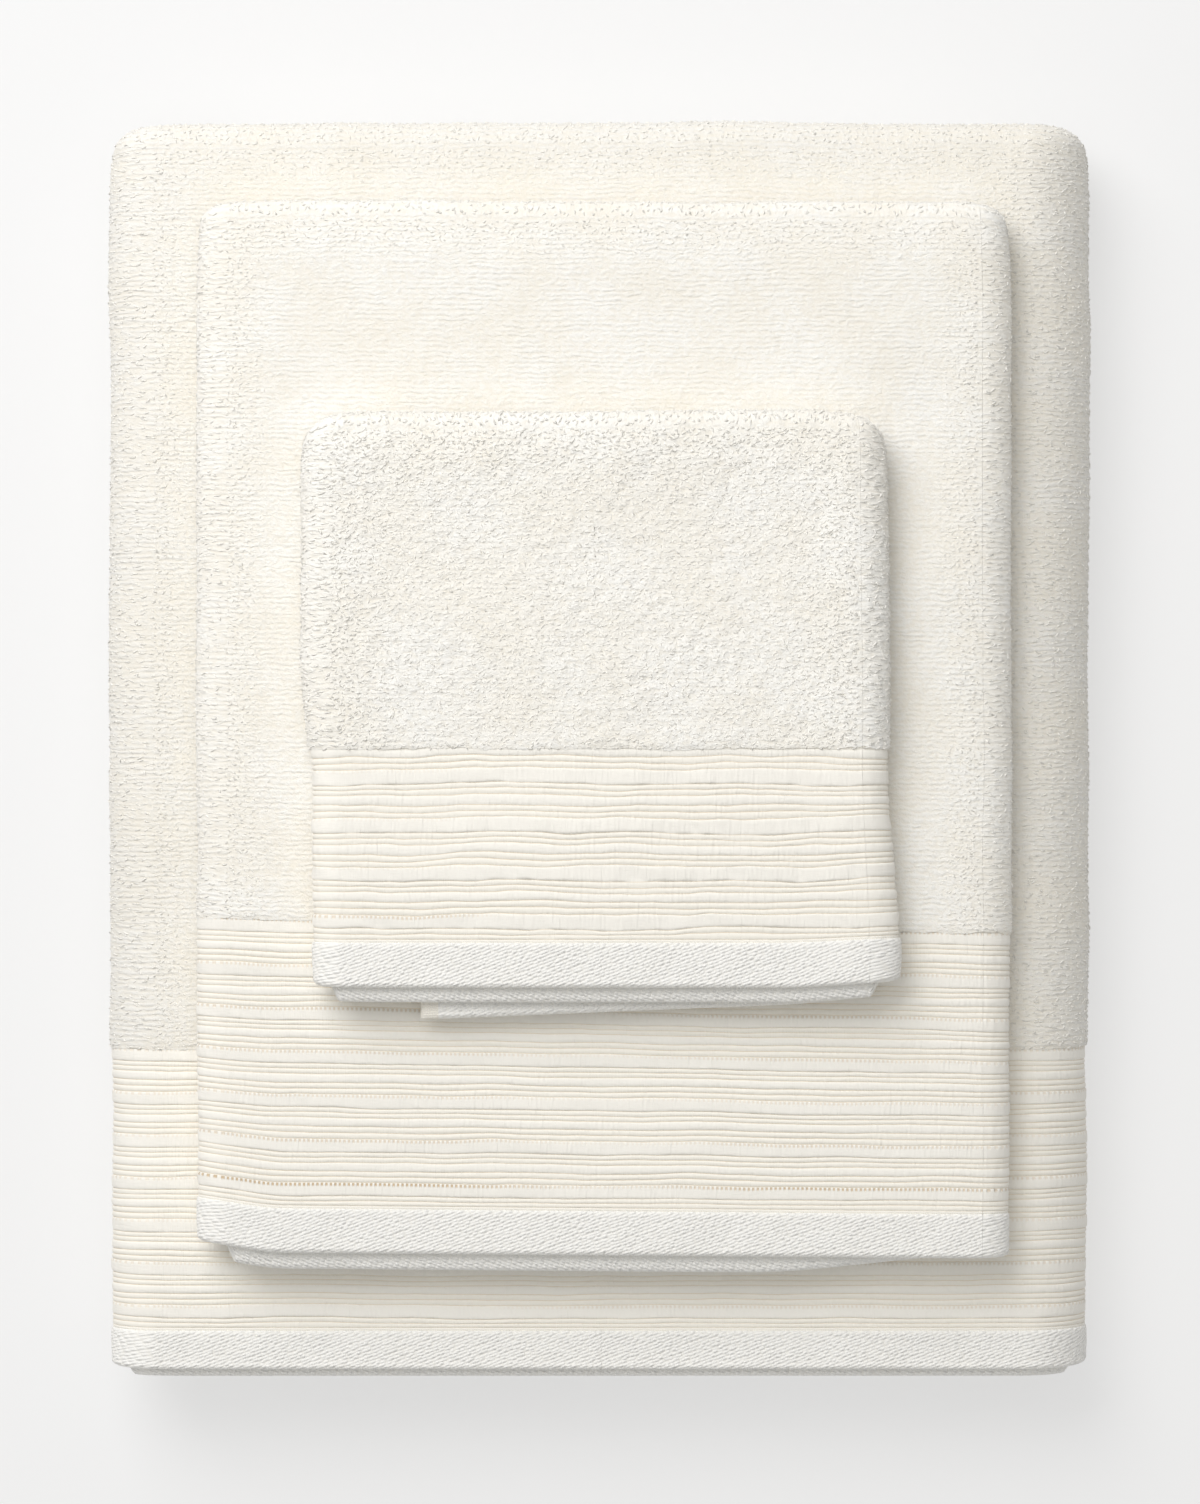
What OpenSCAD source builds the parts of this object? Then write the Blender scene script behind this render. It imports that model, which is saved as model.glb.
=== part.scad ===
// A set of three terry towels, folded and stacked: a bath towel below, a hand towel on it and a
// washcloth on top. Each towel is first folded crosswise, so that its hemmed ends meet at the
// front, and then both long sides are folded back under the front panel. The right flap lies at
// the bottom, and the rest of the towel opens over it about the right edge like a book.
// +X is right, +Y is to the rear, +Z is up. The origin is the middle of the stack's underside.

/* [Bath towel] */
// Width of the folded bath towel
bath_w = 280; // [250:1:310]
// Length of the folded bath towel, from the front hem to the rear bend
bath_l = 353; // [320:1:390]
// Height that one layer of the bath towel takes up
bath_pitch = 3.4; // [2.5:0.1:4.5]
// Width of each of the bath towel's two flaps, one lying on the other
bath_flap = 241; // [200:1:245]
// Length of the bath towel's ribbed band
bath_band = 79; // [60:1:100]
// Length of the bath towel's hem
bath_hem = 11; // [8:0.5:16]
// How far the bath towel's second end shows in front of the first
bath_peek = 2.2; // [1:0.1:5]

/* [Hand towel] */
// Width of the folded hand towel
hand_w = 229; // [200:1:245]
// Length of the folded hand towel, from the front hem to the rear bend
hand_l = 295; // [270:1:310]
// Height that one layer of the hand towel takes up
hand_pitch = 4.4; // [3:0.1:5]
// Width of the hand towel's right flap
hand_flap = 180; // [120:1:200]
// Length of the hand towel's ribbed band
hand_band = 79; // [60:1:100]
// Length of the hand towel's hem
hand_hem = 12.5; // [8:0.5:16]
// How far the hand towel's second end shows in front of the first
hand_peek = 4.8; // [1:0.1:6]
// Distance of the hand towel's front hem from the front of the stack
hand_inset_y = 36; // [20:1:50]
// Sideways place of the hand towel's middle
hand_x = 1; // [-10:0.5:10]

/* [Washcloth] */
// Width of the folded washcloth
wash_w = 164; // [150:1:180]
// Length of the folded washcloth, from the front hem to the rear bend
wash_l = 160; // [140:1:180]
// Height that one layer of the washcloth takes up
wash_pitch = 4.2; // [3:0.1:5]
// Width of the washcloth's right flap
wash_flap = 133; // [100:1:140]
// Length of the washcloth's ribbed band
wash_band = 53; // [40:1:65]
// Length of the washcloth's hem
wash_hem = 12.5; // [8:0.5:16]
// How far the washcloth's second end shows in front of the first
wash_peek = 4.2; // [1:0.1:6]
// Distance of the washcloth's front hem from the front of the stack
wash_inset_y = 111.5; // [90:0.5:130]
// Sideways place of the washcloth's middle
wash_x = -1.5; // [-10:0.5:10]

/* [Cloth] */
// Gap between two layers of one towel
layer_gap = 0.3; // [0.3:0.05:0.5]
// Gap between two towels that lie on each other
rest_gap = 0.3; // [0.3:0.05:1]
// Width of the woven selvage at each long edge
selvage_w = 5; // [3:0.5:10]
// Width of the line of stitches between hem and band
stitch_w = 0.8; // [0.5:0.1:1.5]
// Gap between the free edges of two flaps that meet
edge_gap = 1; // [0.5:0.1:3]

/* [Hidden] */

arc_sides = 48;
terry_colour = [0.97, 0.95, 0.90];
band_colour = [0.98, 0.96, 0.92];
hem_colour = [0.96, 0.95, 0.90];
thread_colour = [0.99, 0.98, 0.95];
selvage_colour = [0.94, 0.92, 0.86];

// A towel is a list: width, length, layer pitch, layers in a leaf, leaves, right flap, left flap,
// band, hem, peek, middle in x, front in y and underside in z
function width(t) = t[0];
function length(t) = t[1];
function pitch(t) = t[2];
function layers(t) = t[3];
function leaves(t) = t[4];
function right_flap(t) = t[5];
function left_flap(t) = t[6];
function band(t) = t[7];
function hem(t) = t[8];
function peek(t) = t[9];
function middle_x(t) = t[10];
function front_y(t) = t[11];
function under_z(t) = t[12];

function leaf_h(t) = layers(t) * pitch(t);
function stack_h(t) = leaves(t) * leaf_h(t);
function top_z(t) = under_z(t) + stack_h(t);
function left_x(t) = middle_x(t) - width(t) / 2;
function right_x(t) = middle_x(t) + width(t) / 2;

// The left bend wraps one leaf and the right bend wraps the whole height
function left_bend_r(t) = leaf_h(t);
function right_bend_r(t) = stack_h(t) / 2;
function left_axis_x(t) = left_x(t) + left_bend_r(t);
function right_axis_x(t) = right_x(t) - right_bend_r(t);

// Layer 0 is the outermost one and ends in the front hem; layer 1 ends in the inner hem
function layer_front(t, layer) = front_y(t) - layer * peek(t);
function hem_end(t, layer) = layer_front(t, layer) + hem(t);
function band_start(t, layer) = hem_end(t, layer) + stitch_w;
function band_end(t, layer) = band_start(t, layer) + band(t);
function rear_radius(t) = (leaf_h(t) - layer_gap) / 2;
function rear_centre(t) = front_y(t) + length(t) - rear_radius(t);
function inner_fold_centre(t) = front_y(t) + 2 * pitch(t);

stack_front = -(bath_l + bath_peek) / 2;
bath_front = stack_front + bath_peek;
bath = [
    bath_w, bath_l, bath_pitch, 4, 3, bath_flap, bath_flap,
    bath_band, bath_hem, bath_peek, 0, bath_front, 0
];
hand = [
    hand_w, hand_l, hand_pitch, 2, 2, hand_flap, hand_w - hand_flap - edge_gap,
    hand_band, hand_hem, hand_peek, hand_x, stack_front + hand_inset_y, top_z(bath) + rest_gap
];
wash = [
    wash_w, wash_l, wash_pitch, 2, 2, wash_flap, wash_w - wash_flap - edge_gap,
    wash_band, wash_hem, wash_peek, wash_x, stack_front + wash_inset_y, top_z(hand) + rest_gap
];

// Lengthwise sections of a leaf: x runs to the rear, y is the depth below the outer face

// One straight layer
module strip(t, layer, from, to) {
    translate([from, layer * pitch(t)])
        square([to - from, pitch(t) - layer_gap]);
}

// The crosswise bend that joins the outermost of a number of layers
module crease(t, first, count, centre, rear) {
    outer = (count * pitch(t) - layer_gap) / 2;
    inner = outer - pitch(t) + layer_gap;
    translate([centre, first * pitch(t) + outer])
        intersection() {
            difference() {
                circle(r = outer, $fn = arc_sides);
                circle(r = inner, $fn = arc_sides);
            }
            translate([rear ? 0 : -outer, -outer])
                square([outer, 2 * outer]);
        }
}

// The looped pile between the band and the rear bend, and the layers folded up inside
module terry_section(t) {
    for (layer = [0, 1])
        strip(t, layer, band_end(t, layer), rear_centre(t));
    crease(t, 0, layers(t), rear_centre(t), true);
    if (layers(t) == 4) {
        for (layer = [2, 3])
            strip(t, layer, inner_fold_centre(t), rear_centre(t));
        crease(t, 1, 2, rear_centre(t), true);
        crease(t, 2, 2, inner_fold_centre(t), false);
    }
}

module band_section(t, layer) {
    strip(t, layer, band_start(t, layer), band_end(t, layer));
}

module hem_section(t, layer) {
    strip(t, layer, layer_front(t, layer), hem_end(t, layer));
}

module stitch_section(t, layer) {
    strip(t, layer, hem_end(t, layer), band_start(t, layer));
}

module whole_section(t) {
    terry_section(t);
    for (layer = [0, 1])
        strip(t, layer, layer_front(t, layer), band_end(t, layer));
}

// The four shapes that a section is carried along, each with the section as its child

// A flat leaf between two places in x, with its outer face up or down
module leaf(from_x, to_x, outer_z, face_up) {
    translate([from_x, 0, outer_z])
        mirror([0, 0, face_up ? 1 : 0])
            rotate([90, 0, 90])
                linear_extrude(to_x - from_x)
                    children();
}

// A half turn about an axis that runs along y, bulging right or left
module bend(axis_x, axis_z, radius, right) {
    translate([axis_x, 0, axis_z])
        rotate([-90, 0, 0])
            rotate([0, 0, right ? -90 : 90])
                rotate_extrude(angle = 180, $fn = arc_sides)
                    translate([radius, 0])
                        mirror([1, 0])
                            mirror([1, -1])
                                children();
}

module front_panel(t) {
    leaf(left_axis_x(t), right_axis_x(t), top_z(t), true)
        children();
}

module left_side(t) {
    free_edge = left_x(t) + left_flap(t) - selvage_w;
    bend(left_axis_x(t), top_z(t) - leaf_h(t), left_bend_r(t), false)
        children();
    leaf(left_axis_x(t), free_edge, top_z(t) - 2 * leaf_h(t), false)
        children();
}

module right_side(t) {
    free_edge = right_x(t) - right_flap(t) + selvage_w;
    leaf(free_edge, right_axis_x(t), under_z(t), false)
        children();
}

module right_fold(t) {
    bend(right_axis_x(t), under_z(t) + right_bend_r(t), right_bend_r(t), true)
        children();
}

// The pieces of one towel

module front_terry(t) {
    color(terry_colour) front_panel(t) terry_section(t);
}

module front_band(t) {
    color(band_colour) front_panel(t) band_section(t, 0);
}

module inner_band(t) {
    color(band_colour) front_panel(t) band_section(t, 1);
}

module front_hem(t) {
    color(hem_colour) front_panel(t) hem_section(t, 0);
}

module inner_hem(t) {
    color(hem_colour) front_panel(t) hem_section(t, 1);
}

module front_stitching(t) {
    for (layer = [0, 1])
        color(thread_colour) {
            front_panel(t) stitch_section(t, layer);
            left_side(t) stitch_section(t, layer);
        }
}

module left_flap_terry(t) {
    color(terry_colour) left_side(t) terry_section(t);
}

module left_flap_bands(t) {
    for (layer = [0, 1])
        color(band_colour) left_side(t) band_section(t, layer);
}

module left_flap_hems(t) {
    for (layer = [0, 1])
        color(hem_colour) left_side(t) hem_section(t, layer);
}

module left_selvage(t) {
    free_edge = left_x(t) + left_flap(t);
    color(selvage_colour)
        leaf(free_edge - selvage_w, free_edge, top_z(t) - 2 * leaf_h(t), false)
            whole_section(t);
}

module right_flap_terry(t) {
    color(terry_colour) right_side(t) terry_section(t);
}

module right_flap_bands(t) {
    for (layer = [0, 1])
        color(band_colour) right_side(t) band_section(t, layer);
}

module right_flap_hems(t) {
    for (layer = [0, 1])
        color(hem_colour) right_side(t) hem_section(t, layer);
}

module right_flap_stitching(t) {
    for (layer = [0, 1])
        color(thread_colour) right_side(t) stitch_section(t, layer);
}

module right_selvage(t) {
    free_edge = right_x(t) - right_flap(t);
    color(selvage_colour)
        leaf(free_edge, free_edge + selvage_w, under_z(t), false)
            whole_section(t);
}

module fold_terry(t) {
    color(terry_colour) right_fold(t) terry_section(t);
}

module fold_bands(t) {
    for (layer = [0, 1])
        color(band_colour) right_fold(t) band_section(t, layer);
}

module fold_hems(t) {
    for (layer = [0, 1])
        color(hem_colour) right_fold(t) hem_section(t, layer);
}

module fold_stitching(t) {
    for (layer = [0, 1])
        color(thread_colour) right_fold(t) stitch_section(t, layer);
}

// The bath towel, one module for each of its pieces
module bath_front_terry() { front_terry(bath); }
module bath_front_band() { front_band(bath); }
module bath_inner_band() { inner_band(bath); }
module bath_front_hem() { front_hem(bath); }
module bath_inner_hem() { inner_hem(bath); }
module bath_front_stitching() { front_stitching(bath); }
module bath_left_flap_terry() { left_flap_terry(bath); }
module bath_left_flap_bands() { left_flap_bands(bath); }
module bath_left_flap_hems() { left_flap_hems(bath); }
module bath_left_selvage() { left_selvage(bath); }
module bath_right_flap_terry() { right_flap_terry(bath); }
module bath_right_flap_bands() { right_flap_bands(bath); }
module bath_right_flap_hems() { right_flap_hems(bath); }
module bath_right_flap_stitching() { right_flap_stitching(bath); }
module bath_right_selvage() { right_selvage(bath); }
module bath_fold_terry() { fold_terry(bath); }
module bath_fold_bands() { fold_bands(bath); }
module bath_fold_hems() { fold_hems(bath); }
module bath_fold_stitching() { fold_stitching(bath); }

// The hand towel, one module for each of its pieces
module hand_front_terry() { front_terry(hand); }
module hand_front_band() { front_band(hand); }
module hand_inner_band() { inner_band(hand); }
module hand_front_hem() { front_hem(hand); }
module hand_inner_hem() { inner_hem(hand); }
module hand_front_stitching() { front_stitching(hand); }
module hand_left_flap_terry() { left_flap_terry(hand); }
module hand_left_flap_bands() { left_flap_bands(hand); }
module hand_left_flap_hems() { left_flap_hems(hand); }
module hand_left_selvage() { left_selvage(hand); }
module hand_right_flap_terry() { right_flap_terry(hand); }
module hand_right_flap_bands() { right_flap_bands(hand); }
module hand_right_flap_hems() { right_flap_hems(hand); }
module hand_right_flap_stitching() { right_flap_stitching(hand); }
module hand_right_selvage() { right_selvage(hand); }
module hand_fold_terry() { fold_terry(hand); }
module hand_fold_bands() { fold_bands(hand); }
module hand_fold_hems() { fold_hems(hand); }
module hand_fold_stitching() { fold_stitching(hand); }

// The washcloth, one module for each of its pieces
module wash_front_terry() { front_terry(wash); }
module wash_front_band() { front_band(wash); }
module wash_inner_band() { inner_band(wash); }
module wash_front_hem() { front_hem(wash); }
module wash_inner_hem() { inner_hem(wash); }
module wash_front_stitching() { front_stitching(wash); }
module wash_left_flap_terry() { left_flap_terry(wash); }
module wash_left_flap_bands() { left_flap_bands(wash); }
module wash_left_flap_hems() { left_flap_hems(wash); }
module wash_left_selvage() { left_selvage(wash); }
module wash_right_flap_terry() { right_flap_terry(wash); }
module wash_right_flap_bands() { right_flap_bands(wash); }
module wash_right_flap_hems() { right_flap_hems(wash); }
module wash_right_flap_stitching() { right_flap_stitching(wash); }
module wash_right_selvage() { right_selvage(wash); }
module wash_fold_terry() { fold_terry(wash); }
module wash_fold_bands() { fold_bands(wash); }
module wash_fold_hems() { fold_hems(wash); }
module wash_fold_stitching() { fold_stitching(wash); }

bath_front_terry();
bath_front_band();
bath_inner_band();
bath_front_hem();
bath_inner_hem();
bath_front_stitching();
bath_left_flap_terry();
bath_left_flap_bands();
bath_left_flap_hems();
bath_left_selvage();
bath_right_flap_terry();
bath_right_flap_bands();
bath_right_flap_hems();
bath_right_flap_stitching();
bath_right_selvage();
bath_fold_terry();
bath_fold_bands();
bath_fold_hems();
bath_fold_stitching();
hand_front_terry();
hand_front_band();
hand_inner_band();
hand_front_hem();
hand_inner_hem();
hand_front_stitching();
hand_left_flap_terry();
hand_left_flap_bands();
hand_left_flap_hems();
hand_left_selvage();
hand_right_flap_terry();
hand_right_flap_bands();
hand_right_flap_hems();
hand_right_flap_stitching();
hand_right_selvage();
hand_fold_terry();
hand_fold_bands();
hand_fold_hems();
hand_fold_stitching();
wash_front_terry();
wash_front_band();
wash_inner_band();
wash_front_hem();
wash_inner_hem();
wash_front_stitching();
wash_left_flap_terry();
wash_left_flap_bands();
wash_left_flap_hems();
wash_left_selvage();
wash_right_flap_terry();
wash_right_flap_bands();
wash_right_flap_hems();
wash_right_flap_stitching();
wash_right_selvage();
wash_fold_terry();
wash_fold_bands();
wash_fold_hems();
wash_fold_stitching();
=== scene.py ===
"""A bath towel, a hand towel and a washcloth, folded and stacked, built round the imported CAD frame.

Each towel is one cloth, described by three coordinates: u runs across its width, from the free edge
of the left flap to that of the right flap; v runs along its length, from the front hem to the inner
hem; and w stands off the middle of the cloth, towards the pile that shows. Towel.fold() carries them
to the folded towel. Lengths are metres, and cloth coordinates given to materials are millimetres.
"""
import math

import bpy
import numpy as np
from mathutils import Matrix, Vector


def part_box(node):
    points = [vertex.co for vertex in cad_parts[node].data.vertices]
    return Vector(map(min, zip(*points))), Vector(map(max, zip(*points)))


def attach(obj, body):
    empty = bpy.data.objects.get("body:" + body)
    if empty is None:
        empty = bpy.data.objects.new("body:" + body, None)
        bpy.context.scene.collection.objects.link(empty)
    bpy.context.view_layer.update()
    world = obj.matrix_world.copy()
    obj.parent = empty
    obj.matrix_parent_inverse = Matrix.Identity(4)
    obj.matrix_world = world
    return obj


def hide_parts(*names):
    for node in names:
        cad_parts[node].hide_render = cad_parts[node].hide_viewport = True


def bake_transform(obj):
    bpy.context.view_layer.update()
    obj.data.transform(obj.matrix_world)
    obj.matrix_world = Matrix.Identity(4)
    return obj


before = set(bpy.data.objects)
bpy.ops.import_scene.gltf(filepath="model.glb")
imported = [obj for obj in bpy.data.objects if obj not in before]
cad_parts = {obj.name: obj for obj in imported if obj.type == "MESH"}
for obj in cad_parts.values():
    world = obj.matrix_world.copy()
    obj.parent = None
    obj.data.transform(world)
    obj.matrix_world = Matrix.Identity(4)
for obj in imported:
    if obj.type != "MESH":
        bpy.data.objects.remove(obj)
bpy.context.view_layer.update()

MM = 0.001
LAYER_GAP = 0.3 * MM        # between two layers of cloth
BAND_DROP = 0.75 * MM       # how far the ribbed band lies below the top of the pile
HEM_DROP = 0.5 * MM         # the same for the hem
EDGE_RISE = 0.68            # height of a pile loop at a folded edge, as a share of its size
EDGE_REACH = 24 * MM        # how far in from the edge the loops keep some of that height

SNOW = (0.97, 0.965, 0.945)
WHITE = (0.95, 0.94, 0.905)
IVORY = (0.93, 0.905, 0.845)
CREAM = (0.92, 0.885, 0.805)
LINEN = (0.885, 0.87, 0.83)
DEEP_LINEN = (0.875, 0.85, 0.79)
# The next colour is painted shade, mixed into the low parts of the terry's and the hem's relief.
HOLLOW_SHADING = (0.86, 0.80, 0.68)
# The next colour is painted shade, a warm tan, for the band's grooves and its open ladder stitches.
TAN_SHADING = (0.70, 0.54, 0.35)


# ---------------------------------------------------------------- camera, light and floor

def make_camera():
    """A long lens straight above the stack, with the rear of the towels at the top."""
    view_width = 0.3385
    distance = 1.5
    bath_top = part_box("bath_front_terry")[1][2]
    data = bpy.data.cameras.new("camera")
    data.sensor_fit = "HORIZONTAL"
    data.sensor_width = 36
    data.lens = data.sensor_width * distance / view_width
    camera = bpy.data.objects.new("camera", data)
    camera.location = (0, -0.001, bath_top + distance)
    bpy.context.collection.objects.link(camera)
    bpy.context.scene.camera = camera


def add_light(kind, name, place, strength, colour, spread):
    """A light at a place, aimed at the stack. spread is an area's size, or a sun's angle."""
    data = bpy.data.lights.new(name, kind)
    data.energy = strength
    data.color = colour
    if kind == "AREA":
        data.size = spread
    else:
        data.angle = spread
    light = bpy.data.objects.new(name, data)
    light.location = place
    light.rotation_euler = Vector(place).to_track_quat("Z", "Y").to_euler()
    bpy.context.collection.objects.link(light)


def make_studio():
    """A large soft key light from the upper left, a softer one overhead, and an even fill."""
    scene = bpy.context.scene
    scene.view_settings.view_transform = "Standard"
    world = bpy.data.worlds.new("studio")
    world.use_nodes = True
    background = world.node_tree.nodes["Background"]
    background.inputs["Color"].default_value = (1.0, 0.985, 0.95, 1)
    background.inputs["Strength"].default_value = 0.3
    scene.world = world
    add_light("AREA", "key_light", (-0.51, 0.8, 1.1), 13.9, (1.0, 0.99, 0.985), 1.0)
    add_light("SUN", "overhead_light", (-0.1, 0.1, 1.5), 0.75, (1.0, 1.0, 0.99), math.radians(60))


def make_floor():
    """A pale floor that glows a little, as a lit table does, so that shadows on it stay light."""
    reach = 8.0
    mesh = bpy.data.meshes.new("floor")
    corners = [(-reach, -reach, 0), (reach, -reach, 0), (reach, reach, 0), (-reach, reach, 0)]
    mesh.from_pydata(corners, [], [(0, 1, 2, 3)])
    floor = bpy.data.objects.new("floor", mesh)
    bpy.context.collection.objects.link(floor)
    material = bpy.data.materials.new("floor")
    material.use_nodes = True
    shader = material.node_tree.nodes["Principled BSDF"]
    shader.inputs["Base Color"].default_value = (0.39, 0.39, 0.39, 1)
    shader.inputs["Roughness"].default_value = 0.9
    shader.inputs["Specular IOR Level"].default_value = 0.0
    shader.inputs["Emission Color"].default_value = (1, 1, 1, 1)
    shader.inputs["Emission Strength"].default_value = 0.51
    mesh.materials.append(material)


# ---------------------------------------------------------------- smooth repeatable noise

class Noise:
    """Value noise on a plane: lattices of random heights with smooth steps between them."""

    def __init__(self, seed, cells=128):
        self.cells = cells
        self.heights = np.random.default_rng(seed).uniform(-1, 1, (cells, cells))

    def lattice(self, x, y):
        column, row = np.floor(x).astype(int), np.floor(y).astype(int)
        fx, fy = x - column, y - row
        fx, fy = fx * fx * (3 - 2 * fx), fy * fy * (3 - 2 * fy)
        def at(i, j):
            return self.heights[(row + j) % self.cells, (column + i) % self.cells]
        near = at(0, 0) * (1 - fx) + at(1, 0) * fx
        far = at(0, 1) * (1 - fx) + at(1, 1) * fx
        return near * (1 - fy) + far * fy

    def __call__(self, x, y):
        """Two lattices, one turned against the other, so that neither shows. About -1 to 1."""
        x, y = np.broadcast_arrays(np.asarray(x, float), np.asarray(y, float))
        turned_x, turned_y = 0.8 * x + 0.6 * y + 31.7, -0.6 * x + 0.8 * y + 12.3
        return 0.65 * self.lattice(x, y) + 0.65 * self.lattice(turned_x, turned_y)


def smooth_step(x, start, end):
    t = np.clip((x - start) / (end - start), 0, 1)
    return t * t * (3 - 2 * t)


def spaced(start, end, step):
    """Evenly spaced places from start to end, about a step apart."""
    return np.linspace(start, end, max(2, int(round((end - start) / step)) + 1))


def join(*runs):
    """Runs of places, end to end, without the doubled ends."""
    places = np.concatenate(runs)
    return places[np.concatenate([[True], np.diff(places) > 1e-9])]


def with_close_ends(places):
    """Add a place just inside each end, so that shading carries on across a cut in the cloth."""
    inset = 0.04 * MM
    return np.concatenate([places[:1], [places[0] + inset], places[1:-1], [places[-1] - inset], places[-1:]])


# ---------------------------------------------------------------- how one towel is folded

class Towel:
    """The sizes of one folded towel, read from its CAD nodes, and the map from cloth to fold."""

    layers = 2          # layers of cloth in one leaf
    roll = 20 * MM      # how far in from a folded edge the towel slopes down to it
    droop = 2.4 * MM    # how far it slopes down
    corner = 2.6 * MM   # how far the rear corners are drawn in
    swell = 0.6 * MM    # height of the slow waves in the top
    tuck_left = (5 * MM, 8 * MM)    # how far in from its left side the second end comes out
    tuck_right = (5 * MM, 8 * MM)
    grain = 1.1 * MM            # step between the points on the front
    hidden_grain = 5 * MM       # the same on the flaps and the inner layers
    fluff = 0.15                # how uneven the pile looks, 0 to 1
    tints = (WHITE, IVORY)
    tousle = 0.8                # how uneven the cloth's surface is
    rib_groups = 6
    starts_medium = False       # whether the ribs next to the terry are a narrow pair and a medium one
    ladders = ()                # how open the ladder stitches of each wide rib are, 0 to 1
    ladder_end = 1000 * MM      # how far in from the left side they are open
    loop_gap = 1.45 * MM        # between raised loops of pile
    loop_size = 0.8 * MM
    loop_rise = 0.1             # height of a loop away from the edges, as a share of its size
    loop_reach = 26 * MM        # how far in from the edges there are raised loops
    seed = 0

    def __init__(self, name, below=None):
        self.name, self.below = name, below
        box = {part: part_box(f"{name}_{part}") for part in (
            "front_terry", "front_band", "front_hem", "inner_hem", "left_flap_terry",
            "left_selvage", "right_selvage", "right_flap_terry", "fold_terry")}
        panel_low, panel_high = box["front_terry"]
        self.left_axis, self.right_axis = panel_low[0], panel_high[0]
        self.top, self.rear_end = panel_high[2], panel_high[1]
        self.under = box["right_flap_terry"][0][2]
        self.left, self.right = box["left_flap_terry"][0][0], box["fold_terry"][1][0]
        self.left_radius = self.left_axis - self.left
        self.right_radius = self.right - self.right_axis
        self.leaf_height = self.left_radius
        self.pitch = self.leaf_height / self.layers
        self.thick = self.pitch - LAYER_GAP
        self.fronts = (box["front_hem"][0][1], box["inner_hem"][0][1])
        self.hem = box["front_hem"][1][1] - box["front_hem"][0][1]
        self.seam = box["front_band"][0][1] - box["front_hem"][1][1]
        self.band = box["front_band"][1][1] - box["front_band"][0][1]
        self.left_free = box["left_selvage"][1][0]
        self.right_free = box["right_selvage"][0][0]
        self.selvage = box["left_selvage"][1][0] - box["left_selvage"][0][0]
        self.rear = self.rear_end - (self.leaf_height - LAYER_GAP) / 2
        self.noise = Noise(self.seed)
        self.trace_length()
        self.trace_width()

    def trace_length(self):
        """The crosswise folds: straight runs and half turns of the cloth's middle, end to end."""
        def depth(layer):
            return layer * self.pitch + self.thick / 2
        last = self.layers - 1
        runs = [("line", self.fronts[0], self.rear, depth(0)), ("turn", self.rear, depth(0), depth(last))]
        if self.layers == 4:
            front_fold = self.fronts[0] + 2 * self.pitch
            runs += [
                ("line", self.rear, front_fold, depth(3)), ("turn", front_fold, depth(3), depth(2)),
                ("line", front_fold, self.rear, depth(2)), ("turn", self.rear, depth(2), depth(1))]
        runs.append(("line", self.rear, self.fronts[1], depth(1)))
        self.runs, start = [], 0.0
        for run in runs:
            length = abs(run[2] - run[1]) if run[0] == "line" else math.pi * abs(run[3] - run[2]) / 2
            self.runs.append((start, start + length, run))
            start += length
        self.length = start

    def trace_width(self):
        """The lengthwise folds: left flap, left bend, front panel, right bend, right flap."""
        middle = self.leaf_height / 2
        lengths = (
            self.left_free - self.left_axis, math.pi * (self.left_radius - middle),
            self.right_axis - self.left_axis, math.pi * (self.right_radius - middle),
            self.right_axis - self.right_free)
        self.u = np.concatenate([[0], np.cumsum(lengths)])
        self.width = self.u[-1]

    def along(self, v):
        """The middle of the cloth at v: its place in y, its depth, and its normal there."""
        y, depth, normal_y, normal_d = (np.zeros_like(v) for _ in range(4))
        v = np.clip(v, 0, self.length)
        for start, end, run in self.runs:
            here = (v >= start - 1e-12) & (v <= end + 1e-12)
            share = (v[here] - start) / (end - start)
            if run[0] == "line":
                _, from_y, to_y, at_depth = run
                y[here], depth[here] = from_y + share * (to_y - from_y), at_depth
                normal_y[here], normal_d[here] = 0, -np.sign(to_y - from_y)
            else:
                _, centre, from_depth, to_depth = run
                inward = np.sign(to_depth - from_depth)
                side = 1 if centre == self.rear else -1
                radius, angle = abs(to_depth - from_depth) / 2, share * math.pi
                y[here] = centre + side * radius * np.sin(angle)
                depth[here] = (from_depth + to_depth) / 2 - inward * radius * np.cos(angle)
                turn = 1 if inward * side > 0 else -1
                normal_y[here] = turn * side * np.sin(angle)
                normal_d[here] = -turn * inward * np.cos(angle)
        return y, depth, normal_y, normal_d

    def across(self, u, depth):
        """Carry a depth below the outer face to x and z, at u across the width."""
        u, depth = np.broadcast_arrays(u, depth)
        left_z = self.top - self.left_radius
        right_z = self.under + self.right_radius
        left_turn = math.pi * (u - self.u[1]) / (self.u[2] - self.u[1])
        right_turn = math.pi * (u - self.u[3]) / (self.u[4] - self.u[3])
        left_reach, right_reach = self.left_radius - depth, self.right_radius - depth
        parts = [u <= self.u[k] for k in (1, 2, 3, 4)]
        x = np.select(parts, [
            self.left_free - u, self.left_axis - left_reach * np.sin(left_turn),
            self.left_axis + u - self.u[2], self.right_axis + right_reach * np.sin(right_turn)],
            self.right_axis - (u - self.u[4]))
        z = np.select(parts, [
            self.top - 2 * self.leaf_height + depth, left_z - left_reach * np.cos(left_turn),
            self.top - depth, right_z + right_reach * np.cos(right_turn)],
            self.under + depth)
        return x, z

    def fold(self, u, v, w):
        """Points of the folded towel at cloth coordinates given as grids of rows and columns."""
        u, v, w = np.broadcast_arrays(u, v, w)
        y, depth, normal_y, normal_d = self.along(v)
        x, z = self.across(u, depth + w * normal_d)
        y = y + w * normal_y + self.slant(u, v, x)
        return self.settle(x, y, z)

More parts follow.
